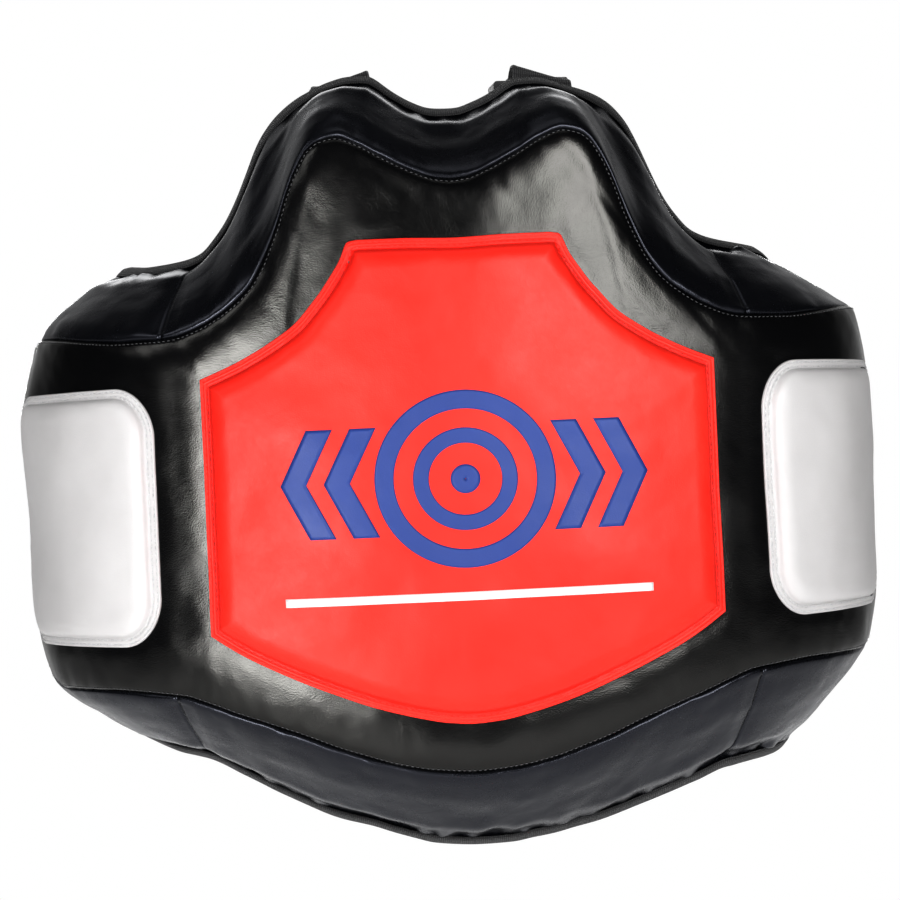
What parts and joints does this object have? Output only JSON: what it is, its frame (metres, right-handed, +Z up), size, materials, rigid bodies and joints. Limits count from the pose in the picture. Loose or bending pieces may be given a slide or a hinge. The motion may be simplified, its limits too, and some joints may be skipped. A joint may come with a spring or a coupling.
{
  "type": "belly pad",
  "caption": "Trainer's thick curved belly protector with raised target pads, bevelled gusset, crossed shoulder straps and a buckled waist belt.",
  "frame": {"origin": "middle of the inner lining, where it rests on the wearer's belly", "axes": "+Z up the wearer's body, +X to the viewer's right, the front faces -Y"},
  "size_m": [0.5452, 0.3018, 0.481],
  "materials": {
    "black_leather": "fine grain, semi-gloss",
    "black_gusset": "smooth, semi-gloss",
    "red_leather": "satin",
    "white_leather": "satin",
    "lining": "smooth lining cloth",
    "binding": "woven tape",
    "webbing": "woven webbing",
    "foam": "closed-cell foam",
    "buckle": "moulded, matte"
  },
  "bodies": {
    "vest": {"front_panel": "black_leather", "back_lining": "lining", "top_gusset": "black_gusset", "bottom_gusset": "black_gusset", "left_gusset": "black_gusset", "right_gusset": "black_gusset", "edge_binding": "binding", "foam_back": "foam", "foam_middle": "foam", "foam_front": "foam", "left_wing_foam": "foam", "right_wing_foam": "foam", "centre_pad_cover": "red_leather", "centre_pad_foam": "foam", "left_pad_cover": "white_leather", "left_pad_foam": "foam", "right_pad_cover": "white_leather", "right_pad_foam": "foam", "left_shoulder_patch": "black_leather", "right_shoulder_patch": "black_leather", "left_anchor_patch": "black_leather", "right_anchor_patch": "black_leather", "strap_cross_patch": "black_leather", "left_shoulder_strap": "webbing", "right_shoulder_strap": "webbing", "left_lower_strap": "webbing", "right_lower_strap": "webbing", "left_waist_strap": "webbing", "right_waist_strap": "webbing", "left_buckle_housing": "buckle", "right_buckle_housing": "buckle", "waist_buckle_housing": "buckle"},
    "left_tongue": {"left_buckle_tongue": "buckle"},
    "left_latch_a": {"left_buckle_arm_a": "buckle"},
    "left_latch_b": {"left_buckle_arm_b": "buckle"},
    "right_tongue": {"right_buckle_tongue": "buckle"},
    "right_latch_a": {"right_buckle_arm_a": "buckle"},
    "right_latch_b": {"right_buckle_arm_b": "buckle"},
    "waist_tongue": {"waist_buckle_tongue": "buckle"},
    "waist_latch_a": {"waist_buckle_arm_a": "buckle"},
    "waist_latch_b": {"waist_buckle_arm_b": "buckle"},
    "left_slider": {"left_strap_slider": "buckle"},
    "right_slider": {"right_strap_slider": "buckle"},
    "waist_keeper": {"waist_strap_keeper": "buckle"}
  },
  "joints": [
    {"name": "left_buckle_release", "type": "slide", "parent": "vest", "child": "left_tongue", "axis": [-0.8944, 0, -0.4472], "range_m": [0, 0.026], "deforming": ["left_lower_strap", "left_buckle_arm_a", "left_buckle_arm_b"]},
    {"name": "left_latch_a_squeeze", "type": "hinge", "parent": "left_tongue", "child": "left_latch_a", "pos_m": [-0.07214, 0.20863, 0.11014], "axis": [0, 1, 0], "range_deg": [0, 12], "stiffness_Nm_per_rad": 1},
    {"name": "left_latch_b_squeeze", "type": "hinge", "parent": "left_tongue", "child": "left_latch_b", "pos_m": [-0.05917, 0.20863, 0.08421], "axis": [0, 1, 0], "range_deg": [-12, 0], "stiffness_Nm_per_rad": 1},
    {"name": "right_buckle_release", "type": "slide", "parent": "vest", "child": "right_tongue", "axis": [0.8944, 0, -0.4472], "range_m": [0, 0.026], "deforming": ["right_lower_strap", "right_buckle_arm_a", "right_buckle_arm_b"]},
    {"name": "right_latch_a_squeeze", "type": "hinge", "parent": "right_tongue", "child": "right_latch_a", "pos_m": [0.05917, 0.20623, 0.08421], "axis": [0, 1, 0], "range_deg": [0, 12], "stiffness_Nm_per_rad": 1},
    {"name": "right_latch_b_squeeze", "type": "hinge", "parent": "right_tongue", "child": "right_latch_b", "pos_m": [0.07214, 0.20623, 0.11014], "axis": [0, 1, 0], "range_deg": [-12, 0], "stiffness_Nm_per_rad": 1},
    {"name": "waist_buckle_release", "type": "slide", "parent": "vest", "child": "waist_tongue", "axis": [1, 0, 0], "range_m": [0, 0.026], "deforming": ["right_waist_strap", "waist_buckle_arm_a", "waist_buckle_arm_b"]},
    {"name": "waist_latch_a_squeeze", "type": "hinge", "parent": "waist_tongue", "child": "waist_latch_a", "pos_m": [0.0114, 0.20623, -0.0895], "axis": [0, 1, 0], "range_deg": [0, 12], "stiffness_Nm_per_rad": 1},
    {"name": "waist_latch_b_squeeze", "type": "hinge", "parent": "waist_tongue", "child": "waist_latch_b", "pos_m": [0.0114, 0.20623, -0.0605], "axis": [0, 1, 0], "range_deg": [-12, 0], "stiffness_Nm_per_rad": 1},
    {"name": "left_slider_travel", "type": "slide", "parent": "vest", "child": "left_slider", "axis": [0.1016, 0.9948, 0], "range_m": [-0.03, 0.024]},
    {"name": "right_slider_travel", "type": "slide", "parent": "vest", "child": "right_slider", "axis": [-0.1016, 0.9948, 0], "range_m": [-0.03, 0.024]},
    {"name": "waist_keeper_travel", "type": "slide", "parent": "vest", "child": "waist_keeper", "axis": [1, 0, 0], "range_m": [-0.05, 0.04]}
  ],
  "couplings": [
    {"joint": "left_latch_b_squeeze", "follows": "left_latch_a_squeeze", "ratio": -1},
    {"joint": "right_latch_b_squeeze", "follows": "right_latch_a_squeeze", "ratio": -1},
    {"joint": "waist_latch_b_squeeze", "follows": "waist_latch_a_squeeze", "ratio": -1}
  ]
}
